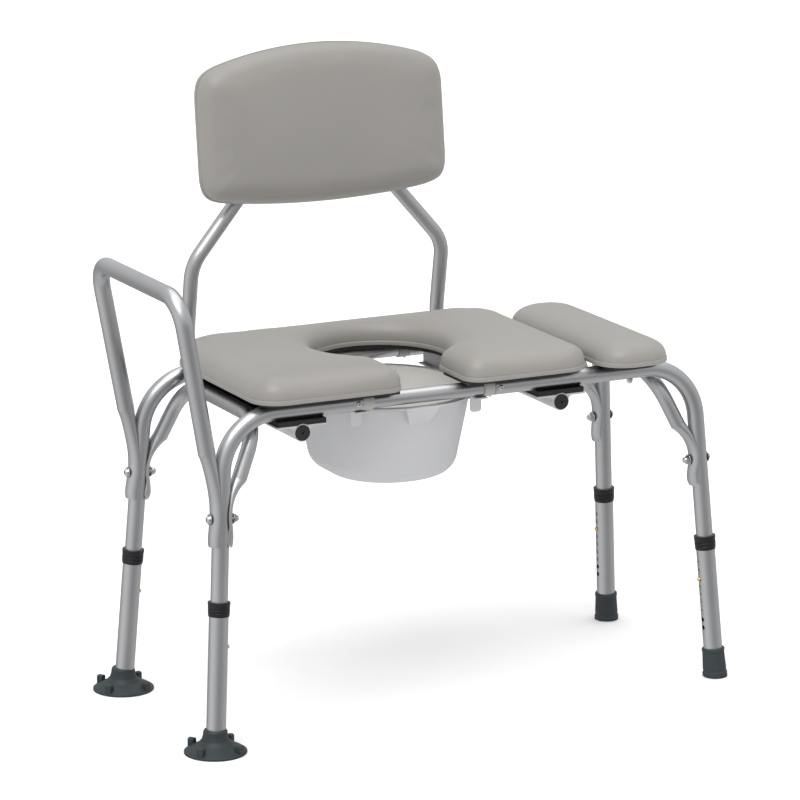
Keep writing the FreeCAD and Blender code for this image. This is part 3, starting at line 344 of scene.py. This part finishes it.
def inwardNormals(loop):
    area = sum(a.x * b.y - b.x * a.y for a, b in zip(loop, loop[1:] + loop[:1]))
    side = 1 if area > 0 else -1
    normals = []
    for before, after in zip(loop[-1:] + loop[:-1], loop[1:] + loop[:1]):
        along = (after - before).normalized()
        normals.append(Vector((-along.y, along.x)) * side)
    return normals


# skin through rings: each profile entry is (how far in from the outline, height)
def ringMesh(name, loop, profile, closeProfile):
    normals = inwardNormals(loop)
    mesh = bmesh.new()
    rings = []
    for inset, height in profile:
        rings.append([mesh.verts.new((*(p + n * inset), height)) for p, n in zip(loop, normals)])
    pairs = list(zip(rings, rings[1:] + rings[:1])) if closeProfile else list(zip(rings, rings[1:]))
    for low, high in pairs:
        for a, b, c, d in zip(low, low[1:] + low[:1], high[1:] + high[:1], high):
            mesh.faces.new((a, b, c, d))
    if not closeProfile:
        for ring in (rings[0], rings[-1]):
            edges = [mesh.edges.get((a, b)) for a, b in zip(ring, ring[1:] + ring[:1])]
            bmesh.ops.triangle_fill(mesh, edges=edges, use_beauty=True)
    bmesh.ops.recalc_face_normals(mesh, faces=mesh.faces)
    data = bpy.data.meshes.new(name)
    mesh.to_mesh(data)
    mesh.free()
    return data


# values the three cushions share; the cloth settings are those of a stiff skin that swells a little
padBuild = {"spacing": 0.004, "shrink": 0.0012, "lift": 0.0002, "footInset": 0.01, "voxel": 0.0042,
            "crownFrom": 0.7, "smoothing": 6, "heldBelow": 0.006, "pressure": 3.0, "cap": 0.0018,
            "clothQuality": 4, "stretchStiffness": 25, "bendStiffness": 2, "lastFrame": 20, "fill": 0.9}


# (inset, height) steps up the side: a small round at the foot, a full side, a wide soft shoulder
def cushionProfile(shape):
    foot, tall = shape["footRound"], shape["tall"]
    deep, high = shape["shoulderDeep"], shape["shoulderHigh"]
    steps = [(foot + padBuild["footInset"], 0.0)]
    steps += [(foot * (1 - math.sin(a)), foot * (1 - math.cos(a)))
              for a in (math.radians(30 * k) for k in range(4))]
    steps += [(deep * (1 - math.cos(a)), tall - high + high * math.sin(a))
              for a in (math.radians(10 * k) for k in range(10))]
    return steps


# a stuffed pad: rounded block, remeshed, blown up a little as cloth, then smoothed
def stuffPad(name, loop, shape, placement, body):
    data = ringMesh(name, loop, cushionProfile(shape), False)
    data.transform(placement)
    pad = newPiece(name, data, "vinyl", body)
    bpy.context.view_layer.objects.active = pad
    pad.select_set(True)
    remesh = pad.modifiers.new("remesh", "REMESH")
    remesh.mode = "VOXEL"
    remesh.voxel_size = padBuild["voxel"]
    bpy.ops.object.modifier_apply(modifier=remesh.name)
    crownPad(pad, loop, shape, placement)
    inflatePad(pad, placement)
    smooth = pad.modifiers.new("smooth", "CORRECTIVE_SMOOTH")
    smooth.iterations = padBuild["smoothing"]
    smooth.use_only_smooth = True
    bpy.ops.object.modifier_apply(modifier=smooth.name)
    fine = pad.modifiers.new("fine", "SUBSURF")
    fine.levels = fine.render_levels = 1
    bpy.ops.object.modifier_apply(modifier=fine.name)
    for face in pad.data.polygons:
        face.use_smooth = True
    pad.select_set(False)
    return pad


# domes the top by how far each point lies from the outline
def crownPad(pad, loop, shape, placement):
    back = placement.inverted()
    samples = loop[::2]
    for vertex in pad.data.vertices:
        place = back @ vertex.co
        if place.z < shape["tall"] * padBuild["crownFrom"]:
            continue
        flat = Vector((place.x, place.y))
        near = min((flat - p).length_squared for p in samples) ** 0.5
        rise = shape["crown"] * (1 - math.exp(-(near / shape["crownReach"]) ** 2))
        vertex.co = placement @ Vector((place.x, place.y, place.z + rise))


def inflatePad(pad, placement):
    back = placement.inverted()
    rest = [v.co.copy() for v in pad.data.vertices]
    held = pad.vertex_groups.new(name="held")
    held.add([i for i, co in enumerate(rest) if (back @ co).z < padBuild["heldBelow"]], 1.0, "REPLACE")
    cloth = pad.modifiers.new("cloth", "CLOTH")
    settings = cloth.settings
    settings.vertex_group_mass = "held"
    settings.use_pressure = True
    settings.uniform_pressure_force = padBuild["pressure"]
    settings.effector_weights.gravity = 0
    settings.quality = padBuild["clothQuality"]
    settings.tension_stiffness = settings.compression_stiffness = padBuild["stretchStiffness"]
    settings.bending_stiffness = padBuild["bendStiffness"]
    cloth.collision_settings.use_collision = False
    scene = bpy.context.scene
    for number in range(1, padBuild["lastFrame"] + 1):
        scene.frame_set(number)
    graph = bpy.context.evaluated_depsgraph_get()
    moved = [v.co.copy() for v in pad.evaluated_get(graph).data.vertices]
    pad.modifiers.remove(cloth)
    scene.frame_set(1)
    moves = []
    for vertex, start, end in zip(pad.data.vertices, rest, moved):
        step = end - start
        if step.length > padBuild["cap"]:
            step *= padBuild["cap"] / step.length
        moves.append(step.length)
        vertex.co = start + step
    pad.vertex_groups.clear()
    print(pad.name, "swelled", round(1000 * sum(moves) / len(moves), 2), "mm on average,",
          round(1000 * max(moves), 2), "mm at most")


lipShape = {"root": 0.004, "reach": 0.0007, "tall": 0.0068, "footRound": 0.0008, "topRound": 0.0016,
            "topBevel": 0.0005, "topInset": 0.0004}


# the lip's section: out from its root under the cushion, up its edge, and back in on top
def lipProfile(shape):
    root, reach, tall = shape["root"], shape["reach"], shape["tall"]
    return [(root, 0.0), (-reach * 0.6, 0.0), (-reach, shape["footRound"]),
            (-reach, tall - shape["topRound"]), (-reach * 0.5, tall - shape["topBevel"]),
            (shape["topInset"], tall), (root, tall)]


def addLip(name, loop, placement, body):
    data = ringMesh(name, loop, lipProfile(lipShape), True)
    data.transform(placement)
    newPiece(name, data, "vinyl", body)


# a cushion, the lip round its foot, and the plain pad they stand for
def finishPad(name, node, loop, shape, placement, body):
    pad = stuffPad(name, loop, shape, placement, body)
    addLip(name + "Lip", loop, placement, body)
    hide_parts(node)
    print(name, "done")


seatShape = {"tall": 0.035, "shoulderDeep": 0.026, "shoulderHigh": 0.022, "footRound": 0.002,
             "crown": 0.0035, "crownReach": 0.045, "corner": 0.042, "rearCorner": 0.074,
             "holeRadius": 0.102, "channelHalf": 0.05, "neckRound": 0.018, "mouthRound": 0.028,
             "holeFromLeft": 0.284, "holeFromFront": 0.197}


# the flat outline's four sides, drawn in a little from the plain pad's, and the height of its foot
def padEdges(node):
    low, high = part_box(node)
    shrink = padBuild["shrink"]
    return low[0] + shrink, high[0] - shrink, low[1] + shrink, high[1] - shrink, low[2]


def seatOutline(shape):
    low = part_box("seat_pad")[0]
    left, right, front, rear, base = padEdges("seat_pad")
    holeX, holeY = low[0] + shape["holeFromLeft"], low[1] + shape["holeFromFront"]
    radius = shape["holeRadius"] + padBuild["shrink"]
    half = shape["channelHalf"] + padBuild["shrink"]
    neck, mouth, corner = shape["neckRound"], shape["mouthRound"], shape["corner"]
    rearCorner = shape["rearCorner"]
    neckY = holeY - math.sqrt((radius + neck) ** 2 - (half + neck) ** 2)
    turn = math.degrees(math.atan2(holeY - neckY, half + neck))
    points = arc(left + corner, front + corner, corner, 180, 270)
    points += arc(holeX - half - mouth, front + mouth, mouth, 270, 360)
    points += arc(holeX - half - neck, neckY, neck, 0, turn)
    points += arc(holeX, holeY, radius, 180 + turn, -turn)
    points += arc(holeX + half + neck, neckY, neck, 180 - turn, 180)
    points += arc(holeX + half + mouth, front + mouth, mouth, 180, 270)
    points += arc(right - corner, front + corner, corner, 270, 360)
    points += arc(right - rearCorner, rear - rearCorner, rearCorner, 0, 90)
    points += arc(left + rearCorner, rear - rearCorner, rearCorner, 90, 180)
    return evenLoop(points, padBuild["spacing"]), base


def makeSeatPad():
    loop, base = seatOutline(seatShape)
    placement = Matrix.Translation((0, 0, base + padBuild["lift"]))
    finishPad("seatCushion", "seat_pad", loop, seatShape, placement, "frame")


sideShape = {"tall": 0.032, "shoulderDeep": 0.034, "shoulderHigh": 0.022, "footRound": 0.002,
             "crown": 0.006, "crownReach": 0.045, "corner": 0.046, "rearCorner": 0.054}


def makeSidePad():
    left, right, front, rear, base = padEdges("side_pad")
    corner, rearCorner = sideShape["corner"], sideShape["rearCorner"]
    points = arc(left + corner, front + corner, corner, 180, 270)
    points += arc(right - corner, front + corner, corner, 270, 360)
    points += arc(right - rearCorner, rear - rearCorner, rearCorner, 0, 90)
    points += arc(left + rearCorner, rear - rearCorner, rearCorner, 90, 180)
    loop = evenLoop(points, padBuild["spacing"])
    placement = Matrix.Translation((0, 0, base + padBuild["lift"]))
    finishPad("sideCushion", "side_pad", loop, sideShape, placement, "frame")


backShape = {"tall": 0.04, "shoulderDeep": 0.026, "shoulderHigh": 0.024, "footRound": 0.003,
             "crown": 0.003, "crownReach": 0.06, "halfWide": 0.2035, "halfTall": 0.1215,
             "arch": 0.036, "sag": 0.015, "corner": 0.048, "fineSpacing": 0.002, "lean": 6.5}


# arc through two ends and a middle point that stands off by a given rise
def bowPoints(start, end, rise, count=60):
    chord = end - start
    half = chord.length / 2
    radius = (half * half + rise * rise) / (2 * abs(rise))
    side = Vector((-chord.y, chord.x)).normalized() * (1 if rise > 0 else -1)
    centre = (start + end) / 2 - side * (radius - abs(rise))
    spread = math.asin(min(1.0, half / radius))
    base = math.atan2(side.y, side.x)
    sign = 1 if rise > 0 else -1
    turns = [base + sign * spread * (1 - 2 * k / count) for k in range(count + 1)]
    return [centre + Vector((math.cos(t), math.sin(t))) * radius for t in turns]


# rounds the corners of a loop by averaging each point with its neighbours on both sides
def softenCorners(loop, spacing, reach):
    window = max(1, int(reach / spacing / 2))
    count = len(loop)
    soft = []
    for index in range(count):
        total = Vector((0.0, 0.0))
        for k in range(-window, window + 1):
            total += loop[(index + k) % count]
        soft.append(total / (2 * window + 1))
    return soft


def backOutline(shape):
    half = shape["halfWide"] - padBuild["shrink"]
    top, foot = shape["halfTall"] - padBuild["shrink"], padBuild["shrink"] - shape["halfTall"]
    shoulder, hip = top - shape["arch"], foot + shape["sag"]
    points = bowPoints(Vector((-half, shoulder)), Vector((half, shoulder)), shape["arch"])
    points += bowPoints(Vector((half, hip)), Vector((-half, hip)), shape["sag"])
    loop = evenLoop(points, shape["fineSpacing"])
    for repeat in range(2):
        loop = softenCorners(loop, shape["fineSpacing"], shape["corner"])
    return evenLoop(loop, padBuild["spacing"])


# the pad's flat rear face, leaning back; its foot is the lowest edge and its top the rearmost
def backPlacement():
    low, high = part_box("backrest_pad")
    lean, half = math.radians(backShape["lean"]), backShape["halfTall"]
    sine, cosine = math.sin(lean), math.cos(lean)
    rear = Vector(((low[0] + high[0]) / 2, high[1] - sine * half, low[2] + cosine * half))
    return Matrix(((1, 0, 0, rear.x), (0, sine, -cosine, rear.y), (0, cosine, sine, rear.z), (0, 0, 0, 1)))


def makeBackPad():
    finishPad("backCushion", "backrest_pad", backOutline(backShape), backShape, backPlacement(), "backrest")


makeSeatPad()
makeSidePad()
makeBackPad()
print("cushions made")


# floor, light and camera

floorLook = {"half": 40.0, "drop": 0.0005, "colour": (0.93, 0.93, 0.93, 1), "roughness": 0.95}


def makeFloor():
    half = floorLook["half"]
    data = bpy.data.meshes.new("studioFloor")
    corners = [(-half, -half, 0), (half, -half, 0), (half, half, 0), (-half, half, 0)]
    data.from_pydata(corners, [], [(0, 1, 2, 3)])
    floor = bpy.data.objects.new("studioFloor", data)
    floor.location.z = -floorLook["drop"]
    bpy.context.scene.collection.objects.link(floor)
    material = bpy.data.materials.new("floorPaper")
    material.use_nodes = True
    shader = material.node_tree.nodes["Principled BSDF"]
    shader.inputs["Base Color"].default_value = floorLook["colour"]
    shader.inputs["Roughness"].default_value = floorLook["roughness"]
    data.materials.append(material)
    floor.visible_glossy = False  # metals mirror the studio's panels, not the paper


lightSetup = {
    "frontDim": 0.30, "leftPanel": 0.70, "rightPanel": 0.36, "overhead": 0.76, "skyStrength": 1.0,
    "bandDrop": 0.24, "bandHalf": 0.10, "bandEnd": 0.6, "sideBlend": 0.3,
    "suns": [
        {"name": "keyLight", "from": (-0.55, -0.55, 1.25), "strength": 1.75, "spread": 40},
        {"name": "topLight", "from": (0.35, 0.25, 1.6), "strength": 0.9, "spread": 60},
    ],
}


# sky: a level band that is dim in front, with a bright panel on the left and a softer one on the right;
# even and bright above and below the band
def makeSky():
    world = bpy.data.worlds.new("studioAir")
    world.use_nodes = True
    tree = world.node_tree
    link = tree.links.new
    coords = addNode(tree, "ShaderNodeTexCoord")
    split = addNode(tree, "ShaderNodeSeparateXYZ")
    square = addNode(tree, "ShaderNodeMath", operation="MULTIPLY")
    side = addNode(tree, "ShaderNodeMapRange", {"From Min": -lightSetup["sideBlend"],
                                                "From Max": lightSetup["sideBlend"],
                                                "To Min": lightSetup["leftPanel"],
                                                "To Max": lightSetup["rightPanel"]})
    panels = addNode(tree, "ShaderNodeMath", operation="MULTIPLY")
    level = addNode(tree, "ShaderNodeMath", {1: lightSetup["frontDim"]}, operation="ADD")
    drop = addNode(tree, "ShaderNodeMath", {1: lightSetup["bandDrop"]}, operation="ADD")
    away = addNode(tree, "ShaderNodeMath", operation="ABSOLUTE")
    rise = addNode(tree, "ShaderNodeMapRange", {"From Min": lightSetup["bandHalf"],
                                                "From Max": lightSetup["bandEnd"]})
    sky = addNode(tree, "ShaderNodeMix", {"B": lightSetup["overhead"]}, data_type="FLOAT")
    link(coords.outputs["Generated"], split.inputs["Vector"])
    link(split.outputs["X"], square.inputs[0])
    link(split.outputs["X"], square.inputs[1])
    link(split.outputs["X"], side.inputs["Value"])
    link(square.outputs["Value"], panels.inputs[0])
    link(side.outputs["Result"], panels.inputs[1])
    link(panels.outputs["Value"], level.inputs[0])
    link(split.outputs["Z"], drop.inputs[0])
    link(drop.outputs["Value"], away.inputs[0])
    link(away.outputs["Value"], rise.inputs["Value"])
    link(rise.outputs["Result"], sky.inputs["Factor"])
    link(level.outputs["Value"], sky.inputs["A"])
    link(sky.outputs["Result"], tree.nodes["Background"].inputs["Color"])
    tree.nodes["Background"].inputs["Strength"].default_value = lightSetup["skyStrength"]
    bpy.context.scene.world = world


def makeLights():
    makeSky()
    for sun in lightSetup["suns"]:
        data = bpy.data.lights.new(sun["name"], "SUN")
        data.energy = sun["strength"]
        data.angle = math.radians(sun["spread"])
        light = bpy.data.objects.new(sun["name"], data)
        light.rotation_euler = (-Vector(sun["from"])).to_track_quat("-Z", "Y").to_euler()
        bpy.context.scene.collection.objects.link(light)
    bpy.context.scene.view_settings.view_transform = "Standard"


cameraView = {"azimuth": -26.188, "elevation": 13.656, "roll": 0.1325, "distance": 6.62276,
              "lens": 200.39, "sensor": 36, "aim": (-0.03084, -0.05250, 0.45183)}


def makeCamera():
    data = bpy.data.cameras.new("viewCamera")
    data.lens = cameraView["lens"]
    data.sensor_width = cameraView["sensor"]
    camera = bpy.data.objects.new("viewCamera", data)
    turn, tilt = math.radians(cameraView["azimuth"]), math.radians(cameraView["elevation"])
    back = Vector((math.sin(turn) * math.cos(tilt), -math.cos(turn) * math.cos(tilt), math.sin(tilt)))
    camera.location = Vector(cameraView["aim"]) + back * cameraView["distance"]
    facing = (-back).to_track_quat("-Z", "Y").to_matrix().to_4x4()
    roll = Matrix.Rotation(math.radians(-cameraView["roll"]), 4, "Z")
    camera.matrix_world = Matrix.Translation(camera.location) @ facing @ roll
    bpy.context.scene.collection.objects.link(camera)
    bpy.context.scene.camera = camera


makeFloor()
makeLights()
makeCamera()
print("floor, lights and camera set")
